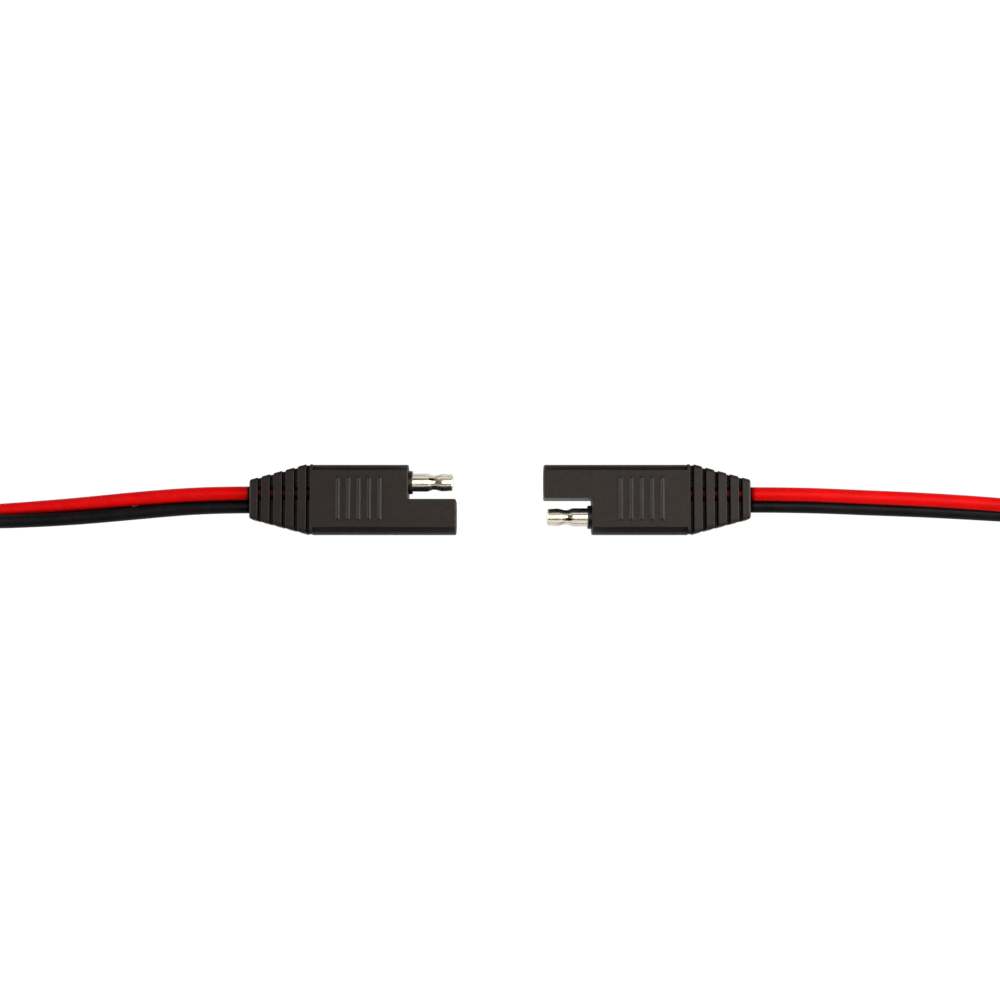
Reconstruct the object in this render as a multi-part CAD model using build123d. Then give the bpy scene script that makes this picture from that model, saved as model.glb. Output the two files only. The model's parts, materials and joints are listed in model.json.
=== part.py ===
"""A pair of flat two-pole quick-disconnect plugs for low-voltage solar and battery leads.

Both plugs are the same moulding: one shrouded socket in a nose beside one bare bullet pin, so each
plug mates with its own twin turned half round. The pair lies apart on the rest surface, pins
facing, and the right plug slides along -X onto the left one.

Frame: X is the mating axis, Z is up, and the origin is midway between the plugs on the surface that
they rest on. A plug is first drawn in its own frame: X as above, its bullet on the +Y side, and its
mid-height at Z = 0. The left plug only has to be lifted. The right one is turned half round as well.
"""
from build123d import *
import os
from math import cos, hypot, pi, radians, sin, tan

# Plug body, in millimetres
POLE_PITCH = 8.8  # between the bullet's axis and the socket's
BODY_WIDTH = 17.8
BODY_THICKNESS = 9.6
FACE_WIDTH = 14.2  # flat part of the top and bottom faces, between the creases
NOSE_TIP_X = -11.0  # end of the left plug's nose: the pair lies 22 mm apart
NOSE_LENGTH = 12.1
BODY_LENGTH = 24.5
FLANGE_LENGTH = 0.6  # full-section step where the body meets the strain relief
NOSE_GAP = 0.1  # from the mid-plane to the nose's inner wall
SHOULDER_X = NOSE_TIP_X - NOSE_LENGTH
BODY_START_X = SHOULDER_X - BODY_LENGTH
POLE_Y = POLE_PITCH / 2

# Grip ribs on both faces
GRIP_COUNT = 5
GRIP_PITCH = 2.6
GRIP_CENTRE_X = -35.4
GRIP_HEIGHT = 0.3
GRIP_BASE = (1.07, 11.2)
GRIP_TOP = (0.45, 10.2)

# Strain relief: ribs and slots along a straight taper
BOOT_RIBS = 5
BOOT_PITCH = 3.06
BOOT_SLOT = 0.96
BOOT_START_WIDTH = 17.4
BOOT_END_WIDTH = 9.8
BOOT_END_THICKNESS = 7.6
BOOT_CORNER = 1.1
WEB_THICKNESS = 2.4  # spine that joins the ribs at mid-height
WEB_INSET = 0.05
BOOT_END_X = BODY_START_X - BOOT_RIBS * BOOT_PITCH
TAPER_START_X = BODY_START_X - BOOT_SLOT

# Terminals: rolled and plated sheet, radii in millimetres
SHANK_R = 2.325
WAIST_R = 1.85
HEAD_R = 2.25
TIP_R = 2.1
PIN_LENGTH = 11.2  # from the shoulder to the tip
WAIST_X = 6.4  # the bullet's snap waist, from the shoulder
COLLAR_R = 2.95
COLLAR_LENGTH = 1.05
SHEET = 0.45
SOCKET_R = 2.4
SOCKET_SHEET = 0.5
SOCKET_DEPTH = 1.4  # from the nose's tip to the socket's front edge
DETENT_R = 2.28  # bead that drops into the bullet's waist
DETENT_DEPTH = 6.2
MOUTH_R = 3.1
MOUTH_DEPTH = 1.3
SLEEVE_R = 3.6
SEAM_WIDTH = 0.16
SEAM_ANGLE = 20.0  # from the top of the bullet, towards the outer side of the plug
BULLET_BARREL_END = -28.0
SOCKET_BARREL_END = -23.6
CRIMP_START = 1.8  # distances behind the barrel, for the crimp on the strands
CRIMP_END = 5.6
OVER_START = 6.4  # and for the crimp that grips the insulation
OVER_END = 9.6
CRIMP_R = 1.45
CRIMP_OVER_R = 2.2

# Inner moulding that holds both terminals
CARRIER_BACK_X = -38.6
CARRIER_FRONT_X = SHOULDER_X - 1.4
CARRIER_SIZE = (14.6, 6.8)

# Twin lead
WIRE_R = 1.75
CONDUCTOR_R = 0.9
WIRE_PITCH = 3.52
TINNED_LENGTH = 8.0
TINNED_R = 1.07  # the conductor with its coat of solder
LEFT_TILT = 24.0  # the bullet side's wire stands this far above level where the lead leaves
RIGHT_TILT = -37.0

MID_HEIGHT = BODY_THICKNESS / 2 + GRIP_HEIGHT

# Free leads: the twin lead's centreline as (x, y, z, twist). The twist is in degrees from level,
# with the red wire up. Each lead leaves its plug, settles on the surface, and folds back beyond the
# tie with its far end split.
LEFT_ROUTE = [
    (BOOT_END_X, 0.0, MID_HEIGHT, 24),
    (-74.0, 0.0, MID_HEIGHT, 24),
    (-91.0, -1.2, 3.5, 8),
    (-108.5, -2.8, 2.4, -12),
    (-126.0, -3.9, 2.75, -31),
    (-143.0, -4.6, 3.7, -60),
    (-157.0, -5.1, 4.41, -90),
    (-170.0, -5.3, 4.41, -90),
    (-183.5, -8.3, 3.7, -90),
    (-199.0, -16.4, 3.52, -90),
    (-214.5, -22.6, 3.52, -90),
    (-229.5, -17.2, 3.52, -90),
    (-235.5, -2.7, 3.52, -90),
    (-229.0, 11.4, 3.52, -90),
    (-213.5, 17.0, 3.52, -90),
    (-199.0, 10.2, 3.52, -90),
    (-183.5, 2.7, 3.7, -90),
    (-170.0, -1.1, 4.41, -90),
    (-157.0, -1.2, 4.41, -90),
    (-147.5, 1.4, 3.3, -125),
]
LEFT_ENDS = {
    "red": [(-142.0, 5.6, 1.8), (-137.0, 9.0, 1.8)],
    "black": [(-142.2, 1.7, 2.35), (-137.0, 2.5, 1.9)],
}

RIGHT_ROUTE = [
    (-BOOT_END_X, 0.0, MID_HEIGHT, 37),
    (75.0, 0.0, MID_HEIGHT, 37),
    (92.0, -0.6, 4.0, 40),
    (109.0, -1.2, 3.2, 43),
    (126.5, -2.3, 3.1, 48),
    (143.5, -3.6, 3.8, 66),
    (157.5, -4.7, 4.41, 90),
    (170.5, -5.0, 4.41, 90),
    (184.0, -8.2, 3.7, 90),
    (199.5, -15.4, 3.52, 90),
    (215.0, -20.9, 3.52, 90),
    (229.8, -14.6, 3.52, 90),
    (235.8, 0.1, 3.52, 90),
    (228.6, 14.0, 3.52, 90),
    (212.8, 18.6, 3.52, 90),
    (198.0, 11.2, 3.52, 90),
    (183.5, 3.0, 3.7, 90),
    (170.5, -0.9, 4.41, 90),
    (157.5, -0.8, 4.41, 90),
    (147.5, 2.0, 3.3, 125),
]
RIGHT_ENDS = {
    "red": [(142.0, 6.2, 2.0), (137.2, 9.8, 1.8)],
    "black": [(142.4, 2.4, 1.8), (137.6, 2.6, 1.8)],
}

# Tie round each folded lead
TIE_X = 163.5
TIE_WIDTH = 3.6
TIE_SHEET = 0.7
TIE_INNER = (7.8, 7.3)
TIE_HEAD = (4.8, 3.2, 5.0)
TIE_Y = {"left": -3.2, "right": -2.9}


def box_between(low, high):
    """A box from its lowest corner to its highest."""
    size = [b - a for a, b in zip(low, high)]
    middle = [(a + b) / 2 for a, b in zip(low, high)]
    return Pos(*middle) * Box(*size)


def rod(x0, x1, radius, y=0.0):
    """A cylinder along X from x0 to x1."""
    return Pos((x0 + x1) / 2, y, 0) * Rot(0, 90, 0) * Cylinder(radius, abs(x1 - x0))


def lathe(outline, y):
    """A closed outline of (x, radius) points and curves, turned about a pole's axis."""
    return Pos(0, y, 0) * revolve(make_face(outline), Axis.X)


# ---------------------------------------------------------------- overmould


def bulged_section():
    """The body's section: flat faces, and sides that bulge out between the creases."""
    face, side, top = FACE_WIDTH / 2, BODY_WIDTH / 2, BODY_THICKNESS / 2
    outline = Line((-face, top), (face, top))
    outline += ThreePointArc((face, top), (side, 0), (face, -top))
    outline += Line((face, -top), (-face, -top))
    outline += ThreePointArc((-face, -top), (-side, 0), (-face, top))
    return make_face(outline)


def boot_size(x):
    """Width and thickness of the strain relief's straight taper at x."""
    share = min(1.0, max(0.0, (x - BOOT_END_X) / (TAPER_START_X - BOOT_END_X)))
    width = BOOT_END_WIDTH + share * (BOOT_START_WIDTH - BOOT_END_WIDTH)
    thickness = BOOT_END_THICKNESS + share * (BODY_THICKNESS - BOOT_END_THICKNESS)
    return width, thickness


def boot_slice(x0, x1, inset=0.0):
    """The taper between two stations, with round corners, narrower by inset on each side."""
    sections = []
    for x in (x0, x1):
        width, thickness = boot_size(x)
        outline = RectangleRounded(width - 2 * inset, thickness, BOOT_CORNER)
        sections.append(Plane.YZ.offset(x) * outline)
    return loft(sections, ruled=True)


def strain_relief():
    """Separate ribs on a thin spine, so that the boot bends and the wires show between them."""
    spine = boot_slice(BOOT_END_X + 1.0, TAPER_START_X, WEB_INSET)
    spine += boot_slice(TAPER_START_X, BODY_START_X, WEB_INSET)
    boot = spine & Box(200, 40, WEB_THICKNESS)
    for i in range(BOOT_RIBS):
        inner = TAPER_START_X - i * BOOT_PITCH
        outer = inner - (BOOT_PITCH - BOOT_SLOT)
        rib = boot_slice(outer, inner)
        last = i == BOOT_RIBS - 1
        ends = rib.faces().filter_by(Axis.X).sort_by(Axis.X)
        rib = fillet(ends[0].edges(), 0.6 if last else 0.16)
        ends = rib.faces().filter_by(Axis.X).sort_by(Axis.X)
        boot += fillet(ends[-1].edges(), 0.16)
    return boot


def grip_rib(x, side):
    """One low trapezoid rib across a face; side is +1 for the top face and -1 for the bottom."""
    root = BODY_THICKNESS / 2 - 0.05
    base = Plane((x, 0, side * root)) * Rectangle(*GRIP_BASE)
    top = Plane((x, 0, side * (BODY_THICKNESS / 2 + GRIP_HEIGHT))) * Rectangle(*GRIP_TOP)
    return loft([base, top], ruled=True)


def plug_outside():
    """Body, nose, flange and grip ribs, still without cavities."""
    section = Plane.YZ * bulged_section()
    body_x = BODY_START_X + FLANGE_LENGTH
    body = Pos(body_x, 0, 0) * extrude(section, SHOULDER_X - body_x, dir=(1, 0, 0))
    nose = Pos(body_x, 0, 0) * extrude(section, NOSE_TIP_X - body_x, dir=(1, 0, 0))
    nose = nose & box_between((-200, -20, -20), (200, -NOSE_GAP, 20))
    solid = body + nose
    tip = solid.faces().filter_by(Axis.X).sort_by(Axis.X)[-1]
    solid = fillet(tip.edges(), 0.45)
    shoulder = solid.faces().filter_by(Axis.X).sort_by(Axis.X)[-2]
    outer_edges = [e for e in shoulder.edges() if e.center().Y > 1.0]
    solid = fillet(outer_edges, 0.3)
    flange = boot_slice(BODY_START_X, BODY_START_X + FLANGE_LENGTH)
    near = flange.faces().filter_by(Axis.X).sort_by(Axis.X)[0]
    solid += fillet(near.edges(), 0.12)
    for i in range(GRIP_COUNT):
        x = GRIP_CENTRE_X + (i - (GRIP_COUNT - 1) / 2) * GRIP_PITCH
        solid += grip_rib(x, 1)
        solid += grip_rib(x, -1)
    return solid


# ---------------------------------------------------------------- terminals


def crimp_outside(barrel_end, barrel_r):
    """Outer (x, radius) points behind a barrel, from front to back."""
    return [
        (barrel_end, barrel_r),
        (barrel_end - CRIMP_START, CRIMP_R),
        (barrel_end - CRIMP_END, CRIMP_R),
        (barrel_end - OVER_START, CRIMP_OVER_R),
        (barrel_end - OVER_END, CRIMP_OVER_R),
    ]


def crimp_inside(barrel_end, bore_r):
    """Inner (x, radius) points behind a barrel, from back to front."""
    return [
        (barrel_end - OVER_END, WIRE_R),
        (barrel_end - OVER_START + 0.2, WIRE_R),
        (barrel_end - CRIMP_END - 0.1, CONDUCTOR_R),
        (barrel_end - CRIMP_START - 0.1, CONDUCTOR_R),
        (barrel_end - 0.2, bore_r),
    ]


def bullet_profile(hollow):
    """The bullet's outline: shank, snap waist, head and open tip, with its crimps behind."""
    shoulder, tip = SHOULDER_X, SHOULDER_X + PIN_LENGTH
    shank_end, waist, head = shoulder + 4.5, shoulder + WAIST_X, shoulder + 8.8
    lock = shoulder + COLLAR_LENGTH  # a thicker root locks the terminal in its carrier
    outside = crimp_outside(BULLET_BARREL_END, SHANK_R + 0.2)[::-1]
    outside += [(lock - 0.2, SHANK_R + 0.2), (lock, SHANK_R), (shank_end, SHANK_R)]
    outline = Polyline(*outside)
    along = [(1, 0), (1, 0)]
    outline += Spline((shank_end, SHANK_R), (waist, WAIST_R), tangents=along)
    outline += Spline((waist, WAIST_R), (head, HEAD_R), tangents=along)
    outline += Line((head, HEAD_R), (tip - 0.35, TIP_R))
    outline += ThreePointArc((tip - 0.35, TIP_R), (tip - 0.1, TIP_R - 0.1), (tip, TIP_R - 0.35))
    back = BULLET_BARREL_END - OVER_END
    if not hollow:
        outline += Polyline((tip, TIP_R - 0.35), (tip, 0), (back, 0), outside[0])
        return outline
    outline += Line((tip, TIP_R - 0.35), (tip, TIP_R - 0.6))
    outline += Line((tip, TIP_R - 0.6), (tip - 0.5, TIP_R - SHEET))
    outline += Line((tip - 0.5, TIP_R - SHEET), (head, HEAD_R - SHEET))
    outline += Spline((head, HEAD_R - SHEET), (waist, WAIST_R - SHEET), tangents=[(-1, 0), (-1, 0)])
    outline += Spline(
        (waist, WAIST_R - SHEET), (shank_end, SHANK_R - SHEET), tangents=[(-1, 0), (-1, 0)]
    )
    inside = crimp_inside(BULLET_BARREL_END, SHANK_R - SHEET)
    outline += Polyline((shank_end, SHANK_R - SHEET), *inside[::-1], outside[0])
    return outline


def socket_profile(hollow):
    """The socket's outline: flared mouth, straight barrel with its detent bead, and crimps."""
    front, outer = NOSE_TIP_X - SOCKET_DEPTH, SOCKET_R + SOCKET_SHEET
    bead = NOSE_TIP_X - DETENT_DEPTH
    outside = crimp_outside(SOCKET_BARREL_END, outer)[::-1]
    dent = outer - (SOCKET_R - DETENT_R)
    outside += [(bead - 0.8, outer), (bead, dent), (bead + 0.8, outer), (front, outer)]
    outline = Polyline(*outside)
    back = SOCKET_BARREL_END - OVER_END
    if not hollow:
        outline += Polyline((front, outer), (front, 0), (back, 0), outside[0])
        return outline
    inside = crimp_inside(SOCKET_BARREL_END, SOCKET_R)[::-1]
    mouth = [(front, outer), (front, SOCKET_R + 0.3), (front - 0.3, SOCKET_R)]
    detent = [(bead + 0.8, SOCKET_R), (bead, DETENT_R), (bead - 0.8, SOCKET_R)]
    outline += Polyline(*mouth, *detent, *inside, outside[0])
    return outline


def seam_cutter(x0, x1, y, angle, width):
    """A thin radial blade that opens a rolled barrel along its seam."""
    blade = box_between((x0, -width / 2, 0.5), (x1, width / 2, 4))
    return Pos(0, y, 0) * Rot(-angle, 0, 0) * blade


def bullet_terminal():
    pin = lathe(bullet_profile(True), POLE_Y)
    waist = SHOULDER_X + WAIST_X - 0.25
    pin -= seam_cutter(BULLET_BARREL_END, 0, POLE_Y, SEAM_ANGLE, SEAM_WIDTH)
    gap = Pos(waist, 0, 2) * extrude(Ellipse(1.3, 0.38), 1.5, both=True)
    return pin - Pos(0, POLE_Y, 0) * Rot(-SEAM_ANGLE, 0, 0) * gap


def socket_terminal():
    barrel = lathe(socket_profile(True), -POLE_Y)
    return barrel - seam_cutter(SOCKET_BARREL_END, 0, -POLE_Y, 0, 2 * SEAM_WIDTH)


# ---------------------------------------------------------------- wires


def smooth_path(points, radii):
    return FilletPolyline(*points, radius=radii)


def route_radii(points):
    """For each corner, an arc as large as its two runs allow."""
    radii = []
    for a, b, c in zip(points, points[1:], points[2:]):
        first, second = Vector(b) - Vector(a), Vector(c) - Vector(b)
        turn = radians(first.get_angle(second))
        radii.append(0.45 * min(first.length, second.length) / tan(turn / 2))
    return radii


def sweep_rings(path, outer, inner=0.0):
    """A round section swept along a path of straight runs and tangent arcs."""
    section = Circle(outer) - Circle(inner) if inner else Circle(outer)
    start = Plane(origin=path @ 0, z_dir=path % 0)
    return sweep(start * section, path=path)


def housed_path(start_x, pole, tilt):
    """A wire's way through the plug, from its terminal to the strain relief's end face."""
    level = WIRE_PITCH / 2 * cos(radians(tilt))
    rise = WIRE_PITCH / 2 * sin(radians(tilt))
    points = [
        (start_x, pole * POLE_Y, 0),
        (-39.8, pole * POLE_Y, 0),
        (-46.0, pole * level, pole * rise),
        (BOOT_END_X, pole * level, pole * rise),
    ]
    return smooth_path(points, [9.0, 9.0])


def housed_wires(tilt):
    """Insulation, conductor and solid envelope of both wires, keyed by pole."""
    found = {}
    for pole, barrel_end in ((1, BULLET_BARREL_END), (-1, SOCKET_BARREL_END)):
        covered = housed_path(barrel_end - OVER_START + 0.15, pole, tilt)
        whole = housed_path(barrel_end - CRIMP_START + 0.1, pole, tilt)
        found[pole] = {
            "insulation": sweep_rings(covered, WIRE_R, CONDUCTOR_R),
            "conductor": sweep_rings(whole, CONDUCTOR_R),
            "envelope": sweep_rings(covered, WIRE_R),
        }
    return found


# ---------------------------------------------------------------- plug


def carrier_outside():
    """The inner moulding: a block round both crimps, the bullet's collar and the socket's sleeve."""
    width, thickness = CARRIER_SIZE
    block = box_between(
        (CARRIER_BACK_X, -width / 2, -thickness / 2), (CARRIER_FRONT_X, width / 2, thickness / 2)
    )
    block = fillet(block.edges(), 0.6)
    collar = rod(CARRIER_FRONT_X - 1, SHOULDER_X + COLLAR_LENGTH, COLLAR_R, POLE_Y)
    rim = collar.edges().sort_by(Axis.X)[-1]
    collar = chamfer(rim, 0.15)
    sleeve = rod(CARRIER_FRONT_X - 1, NOSE_TIP_X - MOUTH_DEPTH, SLEEVE_R, -POLE_Y)
    return block + collar + sleeve


def build_plug(tilt):
    """Every piece of one plug, in the plug's own frame, keyed by what it is."""
    wires = housed_wires(tilt)
    carrier = carrier_outside()
    mouth = rod(NOSE_TIP_X - MOUTH_DEPTH, 0, MOUTH_R, -POLE_Y)
    moulding = plug_outside() - carrier - mouth
    nose_side = box_between((SHOULDER_X, -20, -20), (0, 20, 20))
    overmold = moulding - nose_side
    shroud = moulding & nose_side
    boot = strain_relief()
    carrier -= lathe(bullet_profile(False), POLE_Y)
    carrier -= lathe(socket_profile(False), -POLE_Y)
    carrier -= rod(NOSE_TIP_X - SOCKET_DEPTH, 0, MOUTH_R - 0.15, -POLE_Y)
    for wire in wires.values():
        overmold -= wire["envelope"]
        boot -= wire["envelope"]
        carrier -= wire["envelope"]
    pieces = {
        "overmold": overmold,
        "socket_shroud": shroud,
        "strain_relief": boot,
        "terminal_carrier": carrier,
        "bullet_terminal": bullet_terminal(),
        "socket_terminal": socket_terminal(),
    }
    return pieces, wires


def place(shape, side):
    """From the plug's frame to the shared one."""
    turn = 180 if side == "right" else 0
    return Pos(0, 0, MID_HEIGHT) * Rot(0, 0, turn) * shape


# ---------------------------------------------------------------- free leads


def offset_points(route, side, colour):
    """One wire's corners: beside the twin lead's centreline, and twisted about it."""
    points = []
    hand = (1 if side == "right" else -1) * (1 if colour == "red" else -1)
    up = 1 if colour == "red" else -1
    last = len(route) - 1
    for i, (x, y, z, twist) in enumerate(route):
        before, after = route[max(0, i - 1)], route[min(last, i + 1)]
        ways = []
        for a, b in ((before, (x, y)), ((x, y), after)):
            run = hypot(b[0] - a[0], b[1] - a[1])
            if run:
                ways.append(((b[0] - a[0]) / run, (b[1] - a[1]) / run))
        way_x = sum(w[0] for w in ways) / len(ways)
        way_y = sum(w[1] for w in ways) / len(ways)
        mitre = 1 / (way_x**2 + way_y**2)
        level = hand * WIRE_PITCH / 2 * cos(radians(twist)) * mitre
        rise = up * WIRE_PITCH / 2 * sin(radians(twist))
        points.append((x - level * way_y, y + level * way_x, z + rise))
    return points


def free_wire(route, ends, side, colour):
    """Insulation and conductor of one wire of a free lead. The conductor ends bare and tinned."""
    points = offset_points(route, side, colour) + ends
    radii = route_radii(points)
    print(side, colour, "radii", [round(r, 1) for r in radii])
    path = smooth_path(points, radii)
    end, last_run = Vector(points[-1]), Vector(points[-1]) - Vector(points[-2])
    tip = end + last_run.normalized() * TINNED_LENGTH
    bare = Plane(origin=end, z_dir=last_run) * Circle(TINNED_R)
    cover = sweep_rings(path, WIRE_R, CONDUCTOR_R)
    core = sweep_rings(path, CONDUCTOR_R) + extrude(bare, TINNED_LENGTH)
    print(side, colour, "length", round(path.length + TINNED_LENGTH, 1), "tip", tip)
    section = pi * (WIRE_R**2 - CONDUCTOR_R**2)
    print("  volume over section", round(cover.volume / section, 1))
    return cover, core


def lead_tie(side):
    """A narrow strap round both runs of the folded lead, with its locking head outside."""
    inner = RectangleRounded(*TIE_INNER, 1.6)
    outer = RectangleRounded(TIE_INNER[0] + 2 * TIE_SHEET, TIE_INNER[1] + 2 * TIE_SHEET, 2.2)
    sign = 1 if side == "right" else -1
    strap = extrude(Plane.YZ * (outer - inner), TIE_WIDTH / 2, dir=(1, 0, 0), both=True)
    head = Pos(0, TIE_INNER[0] / 2 + TIE_HEAD[1] / 2 + 0.1, 0) * Box(*TIE_HEAD)
    tie = strap + fillet(head.edges(), 0.5)
    return Pos(sign * TIE_X, TIE_Y[side], TIE_INNER[1] / 2 + TIE_SHEET) * tie


def collect_nodes():
    nodes = {}
    plans = {
        "left": (LEFT_TILT, LEFT_ROUTE, LEFT_ENDS, {1: "red", -1: "black"}),
        "right": (RIGHT_TILT, RIGHT_ROUTE, RIGHT_ENDS, {1: "black", -1: "red"}),
    }
    for side, (tilt, route, ends, colours) in plans.items():
        pieces, wires = build_plug(tilt)
        for name, shape in pieces.items():
            nodes[f"{side}_{name}"] = place(shape, side)
        for pole, colour in colours.items():
            nodes[f"{side}_{colour}_wire"] = place(wires[pole]["insulation"], side)
            nodes[f"{side}_{colour}_conductor"] = place(wires[pole]["conductor"], side)
            cover, core = free_wire(route, ends[colour], side, colour)
            nodes[f"{side}_lead_{colour}"] = cover
            nodes[f"{side}_lead_{colour}_core"] = core
        nodes[f"{side}_lead_tie"] = lead_tie(side)
    return nodes


os.makedirs("parts", exist_ok=True)
for node, shape in collect_nodes().items():
    shape.label = node
    export_step(shape, f"parts/{node}.step")
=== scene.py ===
"""Looks of a pair of flat two-pole quick-disconnect plugs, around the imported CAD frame.

Both plugs lie on the floor with their pins facing. The moulded and metal pieces are the CAD nodes
with procedural finishes. Each bonded twin lead, its bare ends and its tie are built here.
Everything is in metres, in the frame of the CAD model.
"""

import json
from math import cos, pi, radians, sin

import bmesh
import bpy
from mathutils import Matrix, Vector, noise


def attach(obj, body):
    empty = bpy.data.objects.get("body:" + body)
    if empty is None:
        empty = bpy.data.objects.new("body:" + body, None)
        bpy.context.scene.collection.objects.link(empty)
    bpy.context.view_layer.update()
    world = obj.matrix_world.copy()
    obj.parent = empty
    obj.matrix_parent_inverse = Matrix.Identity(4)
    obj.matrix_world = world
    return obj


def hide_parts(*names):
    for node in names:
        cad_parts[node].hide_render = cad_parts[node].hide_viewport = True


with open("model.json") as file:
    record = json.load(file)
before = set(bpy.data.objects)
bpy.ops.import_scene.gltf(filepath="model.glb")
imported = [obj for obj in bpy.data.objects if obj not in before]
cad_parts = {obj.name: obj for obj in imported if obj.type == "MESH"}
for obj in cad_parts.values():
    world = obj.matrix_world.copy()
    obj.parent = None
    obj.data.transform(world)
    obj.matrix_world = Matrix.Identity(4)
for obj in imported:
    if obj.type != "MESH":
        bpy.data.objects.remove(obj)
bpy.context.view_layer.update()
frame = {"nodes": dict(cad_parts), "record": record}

MM = 0.001
SIDES = ("left", "right")

# Camera
EYE_ELEVATION = 85.3  # degrees above the floor, leaning towards -Y
EYE_DISTANCE = 0.4423  # from the middle of the pair
EYE_LENS = 63.0  # focal length in mm, on a sensor 36 mm wide
MID_HEIGHT = 5.1 * MM  # of a plug, and of its pin, socket and lead

# Places on each plug that its finish needs, as distances from the middle of the pair
SHOULDER_X = 23.1 * MM  # where the nose, a node of its own, meets the body
GRIP_X = 35.4 * MM  # middle of the grip ribs
GRIP_HALF = 6.2 * MM  # half the length of the patch round the five ribs
RIB_END_Y = 5.0 * MM  # about where the slopes at the ribs' ends begin

# Twin lead: two round wires with a narrow bond between them
WIRE_R = 1.75 * MM
WIRE_OFFSET = 1.76 * MM  # from the lead's centreline to each wire's axis
BOND_FACE = 1.755 * MM  # from a wire's axis to the flat where the colours meet
BOND_ANGLE = 16  # degrees at the wire's axis between the flat's middle and its edge
SPLIT_SHARE = 0.12  # the bond is gone where the wires are further apart by this share
TIP_LENGTH = 8.0 * MM
TIP_R = 1.07 * MM
TIP_STRANDS = 11
TIP_TWIST = 2.4  # radians that the strands turn along a bare end

# Tie round each folded lead: a strap that comes out of its head, goes round both runs of the lead
# and back through the head's window
TIE_PLACE = {"left": (-0.1635, -0.0032, 0.00437), "right": (0.1635, -0.0029, 0.00437)}
STRAP_HALF = (1.8 * MM, 0.35 * MM)  # half the strap's width and thickness
LOOP_HALF = (4.25 * MM, 4.0 * MM)  # across and up, to the middle of the strap
LOOP_CORNER = 1.95 * MM
STRAP_START = 0.3 * MM  # height above the tie's middle where the strap leaves its head
STRAP_ROUND = 0.18 * MM  # bevel on the strap's edges
TOOTH_PITCH = 0.8 * MM
TOOTH_DEPTH = 0.14 * MM
WINDOW_Y = 5.45 * MM  # from the tie's middle to the strap's way through the head
HEAD_HALF = (2.5 * MM, 1.6 * MM, 2.3 * MM)
WINDOW_HALF = (1.95 * MM, 0.6 * MM)
TAIL_TOP = 4.3 * MM  # height above the tie's middle of the strap's cut end

# Black sheets beside each plug that only reflections see, as distances from the middle of the pair
FLAG_START_NOSE_SIDE = 11 * MM
FLAG_START_PIN_SIDE = 24 * MM
FLAG_END = 66 * MM
FLAG_ROWS = (15 * MM, 120 * MM)

# Control points of each lead's centreline: x, y, z, tilt in degrees, which is 90 with the red wire
# on top and -90 with the black one, and how far apart the wires are, as a multiple of WIRE_OFFSET
ROUTES = {
    "left": [
        (-0.0629, 0.0, 0.0051, 24, 1),
        (-0.074, 0.0, 0.0051, 24, 1),
        (-0.091, -0.0012, 0.0035, 8, 1),
        (-0.1085, -0.0028, 0.0024, -12, 1),
        (-0.126, -0.0039, 0.00275, -31, 1),
        (-0.143, -0.0046, 0.0037, -60, 1),
        (-0.157, -0.0051, 0.00441, -90, 1),
        (-0.17, -0.0053, 0.00441, -90, 1),
        (-0.1835, -0.0083, 0.0037, -90, 1),
        (-0.199, -0.0164, 0.00352, -90, 1),
        (-0.2145, -0.0226, 0.00352, -90, 1),
        (-0.2295, -0.0172, 0.00352, -90, 1),
        (-0.2355, -0.0027, 0.00352, -90, 1),
        (-0.229, 0.0114, 0.00352, -90, 1),
        (-0.2135, 0.017, 0.00352, -90, 1),
        (-0.199, 0.0102, 0.00352, -90, 1),
        (-0.1835, 0.0027, 0.0037, -90, 1),
        (-0.17, -0.0011, 0.00441, -90, 1),
        (-0.157, -0.0012, 0.00441, -90, 1),
        (-0.1475, 0.0014, 0.0033, -125, 1),
        (-0.1421, 0.00365, 0.00217, -172, 1.12),
        (-0.137, 0.00575, 0.00185, -180, 1.85),
    ],
    "right": [
        (0.0629, 0.0, 0.0051, 37, 1),
        (0.075, 0.0, 0.0051, 37, 1),
        (0.092, -0.0006, 0.004, 40, 1),
        (0.109, -0.0012, 0.0032, 43, 1),
        (0.1265, -0.0023, 0.0031, 48, 1),
        (0.1435, -0.0036, 0.0038, 66, 1),
        (0.1575, -0.0047, 0.00441, 90, 1),
        (0.1705, -0.005, 0.00441, 90, 1),
        (0.184, -0.0082, 0.0037, 90, 1),
        (0.1995, -0.0154, 0.00352, 90, 1),
        (0.215, -0.0209, 0.00352, 90, 1),
        (0.2298, -0.0146, 0.00352, 90, 1),
        (0.2358, 0.0001, 0.00352, 90, 1),
        (0.2286, 0.014, 0.00352, 90, 1),
        (0.2128, 0.0186, 0.00352, 90, 1),
        (0.198, 0.0112, 0.00352, 90, 1),
        (0.1835, 0.003, 0.0037, 90, 1),
        (0.1705, -0.0009, 0.00441, 90, 1),
        (0.1575, -0.0008, 0.00441, 90, 1),
        (0.1475, 0.002, 0.0033, 125, 1),
        (0.1422, 0.0043, 0.00216, 172, 1.08),
        (0.1374, 0.0062, 0.0018, 180, 2.05),
    ],
}


# ---------------------------------------------------------------- camera


def make_camera():
    """The view of both plugs, from almost straight above the middle of the pair."""
    camera = bpy.data.objects.new("camera", bpy.data.cameras.new("camera"))
    bpy.context.scene.collection.objects.link(camera)
    bpy.context.scene.camera = camera
    lean = radians(EYE_ELEVATION)
    back = Vector((0, -cos(lean), sin(lean)))
    camera.location = Vector((0, 0, MID_HEIGHT)) + EYE_DISTANCE * back
    camera.rotation_mode = "QUATERNION"
    camera.rotation_quaternion = (-back).to_track_quat("-Z", "Y")
    camera.data.lens = EYE_LENS
    camera.data.sensor_width = 36
    camera.data.clip_start = 0.01
    camera.data.clip_end = 20


# ---------------------------------------------------------------- mesh helpers


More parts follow.
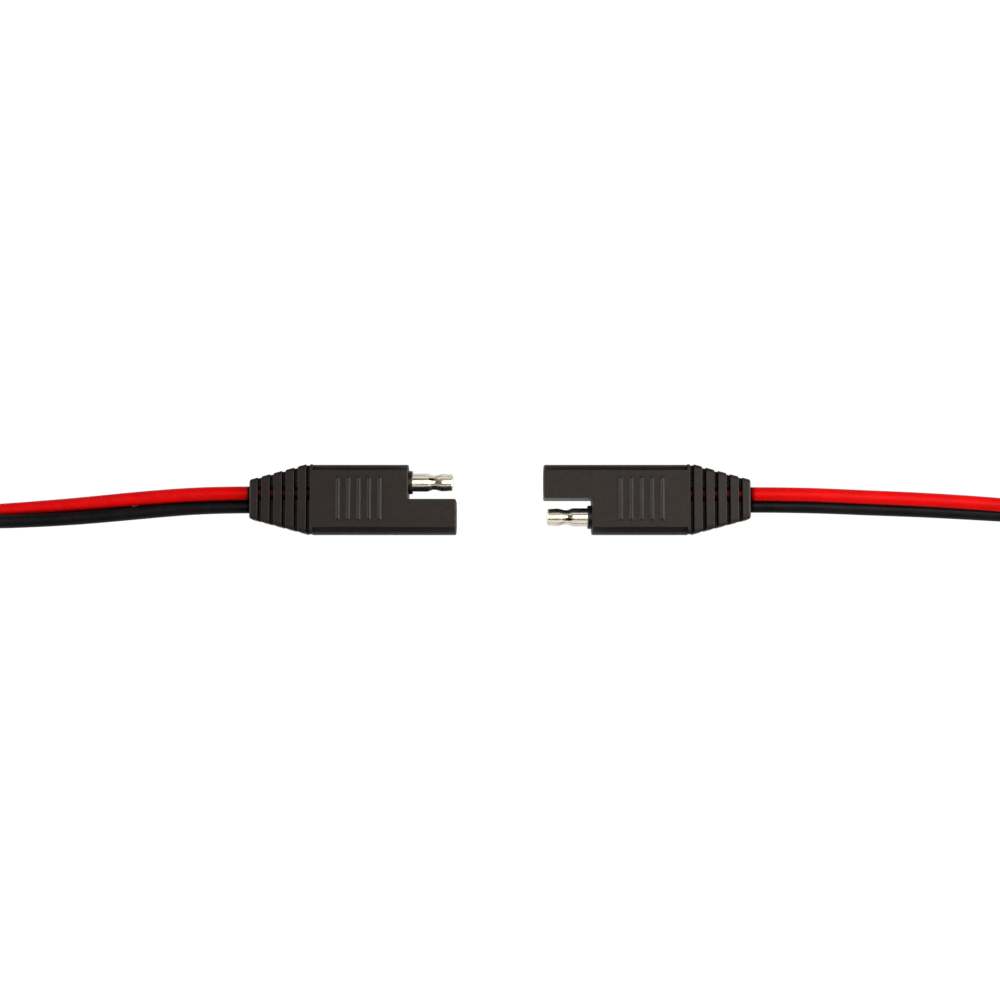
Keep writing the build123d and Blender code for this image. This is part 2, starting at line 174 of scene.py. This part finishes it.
def new_object(name, mesh, side, *materials):
    """A piece of one plug's body, with its materials."""
    piece = bpy.data.objects.new(name, mesh)
    bpy.context.scene.collection.objects.link(piece)
    for material in materials:
        mesh.materials.append(material)
    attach(piece, f"{side}_half")
    return piece


def skin(bm, rings, material=0, smooth=True, joined=False):
    """Join closed rings of points into a tube with flat ends, or into a frame without ends."""
    loops = [[bm.verts.new(p) for p in ring] for ring in rings]
    count = len(loops[0])
    following = loops[1:] + loops[:1] if joined else loops[1:]
    for a, b in zip(loops, following):
        for i in range(count):
            j = (i + 1) % count
            face = bm.faces.new((a[i], a[j], b[j], b[i]))
            face.smooth = smooth
            face.material_index = material
    if not joined:
        bm.faces.new(loops[0][::-1]).material_index = material
        bm.faces.new(loops[-1]).material_index = material


def finish_mesh(bm, name):
    """The mesh of what has been built, with its faces turned outwards."""
    bmesh.ops.recalc_face_normals(bm, faces=bm.faces)
    mesh = bpy.data.meshes.new(name)
    bm.to_mesh(mesh)
    bm.free()
    return mesh


# ---------------------------------------------------------------- twin leads


def spline_points(controls):
    """Points along the NURBS spline that has these control points."""
    curve = bpy.data.curves.new("route", "CURVE")
    curve.dimensions = "3D"
    spline = curve.splines.new("NURBS")
    spline.points.add(len(controls) - 1)
    for point, place in zip(spline.points, controls):
        point.co = (*place, 1)
    spline.order_u = 3
    spline.use_endpoint_u = True
    spline.resolution_u = 16
    holder = bpy.data.objects.new("route", curve)
    mesh = bpy.data.meshes.new_from_object(holder)
    points = [v.co.copy() for v in mesh.vertices]
    bpy.data.objects.remove(holder)
    bpy.data.curves.remove(curve)
    bpy.data.meshes.remove(mesh)
    return points


def lead_frames(route):
    """Along a lead: centre, direction, the way from the black wire to the red one, and spread."""
    centres = spline_points([row[:3] for row in route])
    turns = spline_points([(radians(row[3]), row[4], 0) for row in route])
    frames = []
    last = len(centres) - 1
    hand = 1 if route[0][0] > 0 else -1
    for i, (centre, turn) in enumerate(zip(centres, turns)):
        ahead = (centres[min(last, i + 1)] - centres[max(0, i - 1)]).normalized()
        level = Vector((0, 0, 1)).cross(ahead).normalized()
        up = ahead.cross(level)
        to_red = hand * cos(turn.x) * level + sin(turn.x) * up
        frames.append((centre, ahead, to_red, turn.y))
    return frames


def section_angles():
    """Angles round a wire from the way to its partner, closer together at the bond."""
    bond = [0, BOND_ANGLE / 2, BOND_ANGLE - 0.1, 20]
    rest = [20 + 160 * i / 13 for i in range(1, 14)]
    half = [radians(a) for a in bond + rest]
    return half + [-a for a in half[-2:0:-1]]


def wire_rings(frames, sign):
    """Rings of the red (+1) or the black (-1) wire: round, with a flat where the two are bonded."""
    rings = []
    for centre, ahead, to_red, spread in frames:
        outwards = sign * to_red
        axis = centre + outwards * WIRE_OFFSET * spread
        bonded = min(1.0, max(0.0, 1 - (spread - 1) / SPLIT_SHARE))
        inwards, across = -outwards, ahead.cross(-outwards)
        ring = []
        for angle in section_angles():
            turned = abs(angle)
            flat = BOND_FACE / cos(turned) if turned < radians(BOND_ANGLE) else WIRE_R
            radius = WIRE_R + bonded * (flat - WIRE_R)
            place = axis + radius * (cos(angle) * inwards + sin(angle) * across)
            swell = noise.noise(place * 160) * 0.02 * MM
            ring.append(place + swell * (place - axis).normalized())
        rings.append(ring)
    # A smaller ring a little further on rounds off the cut end.
    middle = sum(rings[-1], Vector()) / len(rings[-1])
    rings.append([p + 0.15 * (middle - p) + 0.16 * MM * frames[-1][1] for p in rings[-1]])
    return rings


def bare_end_rings(start, ahead, side_way):
    """Rings of a tinned bundle: strands that show as flutes, twisted, and drawn in at the cut end."""
    rings = []
    around, stations = 66, 40
    third = ahead.cross(side_way)
    for k in range(stations + 1):
        share = k / stations
        bulge = 1 + 0.03 * sin(9 * share) - 0.28 * max(0.0, share - 0.93) / 0.07
        middle = start + ahead * TIP_LENGTH * share
        ring = []
        for i in range(around):
            angle = 2 * pi * i / around
            flute = abs(cos(TIP_STRANDS / 2 * (angle + TIP_TWIST * share)))
            radius = TIP_R * bulge * (0.9 + 0.1 * flute**0.6)
            ring.append(middle + radius * (cos(angle) * side_way + sin(angle) * third))
        rings.append(ring)
    return rings


def strap_path():
    """The strap's middle line, from its head round to its tail: (y, z) points and outward ways."""
    wide, high = LOOP_HALF
    inner_y, inner_z = wide - LOOP_CORNER, high - LOOP_CORNER
    points = [((wide, STRAP_START), (1, 0))]
    corners = [(inner_y, inner_z, 0), (-inner_y, inner_z, 90), (-inner_y, -inner_z, 180)]
    corners.append((WINDOW_Y - LOOP_CORNER, -inner_z, 270))
    for y, z, start in corners:
        for step in range(9):
            angle = radians(start + step * 90 / 8)
            way = (cos(angle), sin(angle))
            points.append(((y + LOOP_CORNER * way[0], z + LOOP_CORNER * way[1]), way))
    points.append(((WINDOW_Y, TAIL_TOP), (1, 0)))
    return points


def strap_rings(middle):
    """Rings of the toothed strap, at nearly even steps along its middle line."""
    path = strap_path()
    stations = []
    for (a, way_a), (b, way_b) in zip(path, path[1:]):
        run = Vector((b[0] - a[0], b[1] - a[1])).length
        steps = max(1, round(run / (TOOTH_PITCH / 4)))
        for k in range(steps):
            share = k / steps
            place = [p + share * (q - p) for p, q in zip(a, b)]
            way = Vector([p + share * (q - p) for p, q in zip(way_a, way_b)]).normalized()
            stations.append((place, way))
    stations.append((path[-1][0], Vector(path[-1][1])))
    half_width, half_sheet = STRAP_HALF
    rings = []
    for k, ((y, z), way) in enumerate(stations):
        root = -half_sheet + TOOTH_DEPTH * (k % 4) / 3
        edge, round_off = half_width - STRAP_ROUND, half_sheet - STRAP_ROUND
        half = [(edge, half_sheet), (half_width, round_off), (half_width, -round_off)]
        half += [(edge, -half_sheet), (0.68 * half_width, -half_sheet), (0.64 * half_width, root)]
        section = half + [(-x, h) for x, h in half[::-1]]
        spot = middle + Vector((0, y, z))
        rings.append([spot + Vector((x, h * way.x, h * way.y)) for x, h in section])
    return rings


def rounded_ring(centre, half_x, half_y, corner):
    """A level ring of 32 points round a rectangle with round corners."""
    ring = []
    for quarter, (sx, sy) in enumerate(((1, 1), (-1, 1), (-1, -1), (1, -1))):
        for step in range(8):
            angle = radians(90 * quarter + 90 * step / 7)
            x = sx * (half_x - corner) + corner * cos(angle)
            y = sy * (half_y - corner) + corner * sin(angle)
            ring.append(centre + Vector((x, y, 0)))
    return ring


def head_rings(middle):
    """Rings of the tie's locking head, up its outside and down its window, which has sloped lips."""
    half_x, half_y, half_z = HEAD_HALF
    window_x, window_y = WINDOW_HALF
    outside = [(-half_z, 0.35 * MM), (-half_z + 0.1 * MM, 0.14 * MM), (-half_z + 0.35 * MM, 0)]
    outside += [(-z, inset) for z, inset in outside[::-1]]
    rings = []
    for z, inset in outside:
        spot = middle + Vector((0, WINDOW_Y, z))
        rings.append(rounded_ring(spot, half_x - inset, half_y - inset, 0.6 * MM))
    lip_z = half_z - 0.4 * MM
    for z, outset in ((half_z, 0.22 * MM), (lip_z, 0), (-lip_z, 0), (-half_z, 0.22 * MM)):
        spot = middle + Vector((0, WINDOW_Y, z))
        rings.append(rounded_ring(spot, window_x + outset, window_y + outset, 0.15 * MM))
    return rings


def make_tie(side, nylon):
    """The cable tie that holds one folded lead."""
    middle = Vector(TIE_PLACE[side])
    bm = bmesh.new()
    skin(bm, strap_rings(middle), smooth=False)
    skin(bm, head_rings(middle), smooth=False, joined=True)
    tie = new_object(f"{side}_tie", finish_mesh(bm, f"{side}_tie"), side, nylon)
    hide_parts(f"{side}_lead_tie")
    return tie


def make_lead(side, red, black, tin, tie):
    """The bonded twin lead of one plug and the bare ends of its two wires."""
    frames = lead_frames(ROUTES[side])
    bm = bmesh.new()
    for colour, sign, index in (("red", 1, 0), ("black", -1, 1)):
        skin(bm, wire_rings(frames, sign), index)
        axis = [c + sign * to_red * WIRE_OFFSET * spread for c, _, to_red, spread in frames]
        run = axis[-1] - axis[-3]
        ahead = Vector((run.x, run.y, 0)).normalized()
        side_way = ahead.cross(Vector((0, 0, 1)))
        tip = bmesh.new()
        skin(tip, bare_end_rings(axis[-1] - 0.3 * MM * ahead, ahead, side_way))
        name = f"{side}_{colour}_bare_end"
        piece = new_object(name, finish_mesh(tip, name), side, tin)
        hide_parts(f"{side}_lead_{colour}_core")
    name = f"{side}_twin_lead"
    lead = new_object(name, finish_mesh(bm, name), side, red, black)
    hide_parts(f"{side}_lead_red", f"{side}_lead_black")


# ---------------------------------------------------------------- finishes


class Finish:
    """A principled material, with short calls for the procedural nodes that the finishes share."""

    def __init__(self, name, sockets):
        self.material = bpy.data.materials.new(name)
        self.material.use_nodes = True
        self.tree = self.material.node_tree
        self.shader = self.tree.nodes["Principled BSDF"]
        self.place = self.node("ShaderNodeTexCoord").outputs["Object"]
        for socket, value in sockets.items():
            self.shader.inputs[socket].default_value = value

    def node(self, kind, **values):
        """A new node with these settings."""
        made = self.tree.nodes.new(kind)
        for name, value in values.items():
            setattr(made, name, value)
        return made

    def feed(self, socket, source):
        """Link an output to a socket of the shader."""
        self.tree.links.new(source, self.shader.inputs[socket])

    def noise(self, scale, detail=2.0, stretch=(1, 1, 1)):
        """Noise with features 1/scale metres across, stretched along the axes."""
        mapping = self.node("ShaderNodeMapping")
        mapping.inputs["Scale"].default_value = stretch
        self.tree.links.new(self.place, mapping.inputs["Vector"])
        made = self.node("ShaderNodeTexNoise")
        made.inputs["Scale"].default_value = scale
        made.inputs["Detail"].default_value = detail
        self.tree.links.new(mapping.outputs["Vector"], made.inputs["Vector"])
        return made.outputs["Fac"]

    def between(self, source, low, high, from_low=0.3, from_high=0.7):
        """The source, from its own range to low..high."""
        made = self.node("ShaderNodeMapRange")
        made.inputs["From Min"].default_value = from_low
        made.inputs["From Max"].default_value = from_high
        made.inputs["To Min"].default_value = low
        made.inputs["To Max"].default_value = high
        self.tree.links.new(source, made.inputs["Value"])
        return made.outputs["Result"]

    def mix(self, share, first, second):
        """A colour that goes from the first to the second. Each is a colour or another output."""
        made = self.node("ShaderNodeMix", data_type="RGBA")
        self.tree.links.new(share, made.inputs["Factor"])
        for socket, value in ((6, first), (7, second)):
            if isinstance(value, bpy.types.NodeSocket):
                self.tree.links.new(value, made.inputs[socket])
            else:
                made.inputs[socket].default_value = (*value, 1)
        return made.outputs[2]

    def bump(self, height, strength, distance, under=None):
        """A normal that follows the height, on top of another bump if there is one."""
        made = self.node("ShaderNodeBump")
        made.inputs["Strength"].default_value = strength
        made.inputs["Distance"].default_value = distance
        self.tree.links.new(height, made.inputs["Height"])
        if under:
            self.tree.links.new(under, made.inputs["Normal"])
        return made.outputs["Normal"]

    def recess(self, reach, from_low, from_high):
        """1 deep in a slot or between close walls, and 0 in the open: the mask for painted shade."""
        open_way = self.node("ShaderNodeAmbientOcclusion", samples=8)
        open_way.inputs["Distance"].default_value = reach
        return self.between(open_way.outputs["AO"], 1, 0, from_low, from_high)

    def math(self, operation, *operands):
        """An arithmetic node on numbers or other outputs."""
        made = self.node("ShaderNodeMath", operation=operation)
        for socket, value in zip(made.inputs, operands):
            if isinstance(value, bpy.types.NodeSocket):
                self.tree.links.new(value, socket)
            else:
                socket.default_value = value
        return made.outputs[0]

    def apart(self, axis, middle):
        """How far a place is from the nearer of two planes across an axis, at -middle and +middle."""
        parts = self.node("ShaderNodeSeparateXYZ")
        self.tree.links.new(self.place, parts.inputs[0])
        out_from_middle = self.math("ABSOLUTE", parts.outputs[axis])
        return self.math("ABSOLUTE", self.math("SUBTRACT", out_from_middle, middle))

    def edges(self, radius):
        """Near 1 on a sharp convex or concave edge, and 0 elsewhere."""
        bevel = self.node("ShaderNodeBevel", samples=6)
        bevel.inputs["Radius"].default_value = radius
        geometry = self.node("ShaderNodeNewGeometry")
        dot = self.node("ShaderNodeVectorMath", operation="DOT_PRODUCT")
        self.tree.links.new(bevel.outputs["Normal"], dot.inputs[0])
        self.tree.links.new(geometry.outputs["Normal"], dot.inputs[1])
        return self.between(dot.outputs["Value"], 1, 0, 0.8, 0.995)


def moulded_pvc():
    """Matt black PVC with a fine grain, a brownish cast and rubbed edges.

    The grip ribs' flanks have a painted bluish highlight, their ends and the slots painted black shade.
    The seam at the shoulder isn't an edge of the real moulding, so its edge isn't worn.
    """
    finish = Finish("overmold_pvc", {"Specular IOR Level": 0.16})
    cast = finish.between(finish.noise(260, 3), 0, 1)
    speckle = finish.between(finish.noise(2600, 2), 0, 1)
    base = finish.mix(cast, (0.0064, 0.0042, 0.0032), (0.0090, 0.0058, 0.0044))
    base = finish.mix(speckle, base, (0.0112, 0.0078, 0.0064))
    off_seam = finish.between(finish.apart("X", SHOULDER_X), 0, 1, 0.25 * MM, 0.4 * MM)
    worn = finish.math("MULTIPLY", finish.edges(0.12 * MM), off_seam)
    base = finish.mix(worn, base, (0.040, 0.038, 0.038))
    on_grip = finish.between(finish.apart("X", GRIP_X), 1, 0, GRIP_HALF, GRIP_HALF + 0.4 * MM)
    rib_slope = finish.math("MULTIPLY", finish.edges(0.2 * MM), on_grip)
    rib_end = (RIB_END_Y, RIB_END_Y + 0.15 * MM)
    across = finish.apart("Y", 0)
    # Painted highlight: the ribs' flanks turn light bluish, standing in for the side lamps' reflection.
    painted_flank_highlight = finish.math("MULTIPLY", rib_slope, finish.between(across, 1, 0, *rib_end))
    base = finish.mix(painted_flank_highlight, base, (0.082, 0.090, 0.102))
    # Painted shade: the slopes at the ribs' ends turn black.
    painted_rib_end_shade = finish.math("MULTIPLY", rib_slope, finish.between(across, 0, 1, *rib_end))
    base = finish.mix(painted_rib_end_shade, base, (0, 0, 0))
    # Painted shade: black deep in the boot's slots and other recesses, from ambient occlusion.
    finish.feed("Base Color", finish.mix(finish.recess(2.5 * MM, 0.32, 0.75), base, (0, 0, 0)))
    finish.feed("Roughness", finish.between(finish.noise(900, 2), 0.42, 0.54))
    grain = finish.bump(finish.noise(6500, 2), 0.35, 0.03 * MM)
    finish.feed("Normal", finish.bump(finish.noise(350, 1), 0.25, 0.05 * MM, grain))
    return finish.material


def satin_carrier():
    """The darker inner moulding."""
    finish = Finish("carrier_pvc", {"Specular IOR Level": 0.35})
    finish.feed("Base Color", finish.mix(finish.noise(900), (0.004, 0.004, 0.004), (0.009, 0.009, 0.009)))
    finish.feed("Roughness", finish.between(finish.noise(1500), 0.32, 0.5))
    finish.feed("Normal", finish.bump(finish.noise(5000), 0.2, 0.02 * MM))
    return finish.material


def nickel_plate():
    """Bright nickel over rolled brass: warm, slightly wavy, with fine lines along the pin."""
    finish = Finish("plated_brass", {"Metallic": 1.0})
    warm = finish.between(finish.noise(500, 2), 0, 1)
    finish.feed("Base Color", finish.mix(warm, (0.74, 0.69, 0.60), (0.66, 0.60, 0.49)))
    lines = finish.noise(3200, 3, stretch=(0.06, 1, 1))
    finish.feed("Roughness", finish.between(lines, 0.16, 0.34))
    waves = finish.bump(finish.noise(620, 1), 0.5, 0.06 * MM)
    finish.feed("Normal", finish.bump(lines, 0.25, 0.008 * MM, waves))
    return finish.material


def bare_copper():
    """Bare copper strands."""
    finish = Finish("copper", {"Metallic": 1.0})
    finish.feed("Base Color", finish.mix(finish.noise(1500), (0.78, 0.40, 0.24), (0.60, 0.27, 0.14)))
    finish.feed("Roughness", finish.between(finish.noise(2500), 0.25, 0.45))
    return finish.material


def tinned_strands():
    """Solder over copper strands: grey, bright on the crests."""
    finish = Finish("tinned_copper", {"Metallic": 1.0})
    finish.feed("Base Color", finish.mix(finish.noise(1200), (0.72, 0.71, 0.69), (0.55, 0.54, 0.52)))
    finish.feed("Roughness", finish.between(finish.noise(2600), 0.22, 0.42))
    finish.feed("Normal", finish.bump(finish.noise(2600), 0.3, 0.03 * MM))
    return finish.material


def insulation(name, low, high, rough):
    """Extruded PVC: nearly plain, with faint lines along it, faint smudges and painted shade in recesses.
    """
    finish = Finish(name, {"Specular IOR Level": 0.08})
    smudge = finish.between(finish.noise(140, 3), 0, 1)
    base = finish.mix(smudge, low, high)
    # Painted shade: black deep in the boot's slots and darker in the groove between the two wires.
    finish.feed("Base Color", finish.mix(finish.recess(4 * MM, 0.25, 0.8), base, (0, 0, 0)))
    finish.feed("Roughness", finish.between(finish.noise(700, 3), rough, rough + 0.16))
    finish.feed("Normal", finish.bump(finish.noise(1600, 3, (0.2, 1, 1)), 0.22, 0.03 * MM))
    return finish.material


def tie_nylon():
    """Satin black nylon."""
    finish = Finish("tie_nylon", {"Specular IOR Level": 0.4})
    finish.feed("Base Color", finish.mix(finish.noise(600), (0.012, 0.012, 0.013), (0.022, 0.022, 0.023)))
    finish.feed("Roughness", finish.between(finish.noise(1200), 0.38, 0.55))
    finish.feed("Normal", finish.bump(finish.noise(2500), 0.15, 0.02 * MM))
    return finish.material


def paint_cad_nodes(finishes):
    """Give each CAD node the finish of its slot in the record."""
    for part in frame["record"]["subparts"]:
        piece = frame["nodes"][part["node"]]
        piece.data.materials.clear()
        piece.data.materials.append(finishes[part["material_slot"]])


# ---------------------------------------------------------------- studio


def area_light(name, place, target, size, power, colour):
    """A rectangular lamp at a place, turned towards a target."""
    data = bpy.data.lights.new(name, "AREA")
    data.shape = "RECTANGLE"
    data.size, data.size_y = size
    data.energy = power
    data.color = colour
    lamp = bpy.data.objects.new(name, data)
    bpy.context.scene.collection.objects.link(lamp)
    lamp.location = place
    way = Vector(target) - Vector(place)
    lamp.rotation_mode = "QUATERNION"
    lamp.rotation_quaternion = way.to_track_quat("-Z", "Y")
    return lamp


def make_floor():
    """A white floor that glows, so it takes no shadows. It lights the plugs in reflections only."""
    bm = bmesh.new()
    bmesh.ops.create_grid(bm, x_segments=1, y_segments=1, size=6)
    mesh = finish_mesh(bm, "floor")
    floor = bpy.data.objects.new("floor", mesh)
    bpy.context.scene.collection.objects.link(floor)
    white = {"Base Color": (0, 0, 0, 1), "Specular IOR Level": 0, "Emission Color": (1, 1, 1, 1)}
    finish = Finish("floor", white)
    ray = finish.node("ShaderNodeLightPath")
    finish.feed("Emission Strength", finish.between(ray.outputs["Is Camera Ray"], 0.95, 1.02, 0, 1))
    floor.visible_diffuse = False
    mesh.materials.append(finish.material)


def make_flag(name, x0, x1, y0, y1):
    """A black sheet just above the floor that only reflections see. It keeps a plug's flank dark."""
    bm = bmesh.new()
    corners = [(x0, y0), (x1, y0), (x1, y1), (x0, y1)]
    bm.faces.new([bm.verts.new((x, y, 0.2 * MM)) for x, y in corners])
    mesh = finish_mesh(bm, name)
    flag = bpy.data.objects.new(name, mesh)
    bpy.context.scene.collection.objects.link(flag)
    flag.visible_camera = False
    flag.visible_diffuse = False
    flag.visible_transmission = False
    flag.visible_shadow = False
    black = {"Base Color": (0, 0, 0, 1), "Specular IOR Level": 0}
    mesh.materials.append(Finish("flag", black).material)


def make_world():
    """White to the camera and dim grey to everything else."""
    world = bpy.data.worlds.new("studio")
    bpy.context.scene.world = world
    world.use_nodes = True
    nodes, links = world.node_tree.nodes, world.node_tree.links
    seen = nodes["Background"]
    seen.inputs["Color"].default_value = (1, 1, 1, 1)
    dim = nodes.new("ShaderNodeBackground")
    dim.inputs["Color"].default_value = (0.05, 0.05, 0.05, 1)
    ray = nodes.new("ShaderNodeLightPath")
    either = nodes.new("ShaderNodeMixShader")
    links.new(ray.outputs["Is Camera Ray"], either.inputs["Fac"])
    links.new(dim.outputs["Background"], either.inputs[1])
    links.new(seen.outputs["Background"], either.inputs[2])
    links.new(either.outputs["Shader"], nodes["World Output"].inputs["Surface"])


def light_only(lamp, *pieces):
    """Keep a lamp's light off everything but these pieces."""
    lit = bpy.data.collections.new(f"{lamp.name}_receivers")
    for piece in pieces:
        lit.objects.link(piece)
    lamp.light_linking.receiver_collection = lit


def make_studio():
    area_light("overhead", (0.3, 0.05, 0.75), (0.3, 0.05, 0), (0.9, 0.42), 5.4, (1.0, 0.91, 0.83))
    area_light("key", (0.6, 0, 0.2), (0, 0, 0.02), (0.9, 0.36), 12.5, (0.96, 0.98, 1.0))
    area_light("fill", (-0.6, 0, 0.2), (0, 0, 0.02), (0.9, 0.36), 7.0, (0.93, 0.97, 1.0))
    pins = [frame["nodes"][f"{side}_bullet_terminal"] for side in SIDES]
    for name, y in (("front", -0.5), ("back", 0.5)):
        light_only(area_light(name, (0, y, 0.3), (0, 0, 0.05), (1.0, 0.5), 1.6, (1.0, 0.96, 0.9)), *pins)
    make_floor()
    for side, hand in (("left", -1), ("right", 1)):
        for flank, start in ((hand, FLAG_START_NOSE_SIDE), (-hand, FLAG_START_PIN_SIDE)):
            ends = sorted((hand * start, hand * FLAG_END))
            rows = sorted(flank * row for row in FLAG_ROWS)
            make_flag(f"{side}_flag", *ends, *rows)
    make_world()
    bpy.context.scene.view_settings.view_transform = "Standard"
    bpy.context.scene.view_settings.look = "None"


# ---------------------------------------------------------------- assembly

make_camera()
red_shades = ((0.40, 0.0002, 0.0004), (0.48, 0.0004, 0.0006))
black_shades = ((0.0026, 0.0021, 0.0023), (0.0054, 0.0046, 0.0050))
finishes = {
    "overmold_pvc": moulded_pvc(),
    "carrier_pvc": satin_carrier(),
    "plated_brass": nickel_plate(),
    "copper": bare_copper(),
    "tinned_copper": tinned_strands(),
    "red_insulation": insulation("red_insulation", *red_shades, 0.36),
    "black_insulation": insulation("black_insulation", *black_shades, 0.32),
    "tie_nylon": tie_nylon(),
}
paint_cad_nodes(finishes)
for side in SIDES:
    tie = make_tie(side, finishes["tie_nylon"])
    covers = finishes["red_insulation"], finishes["black_insulation"]
    make_lead(side, *covers, finishes["tinned_copper"], tie)
make_studio()
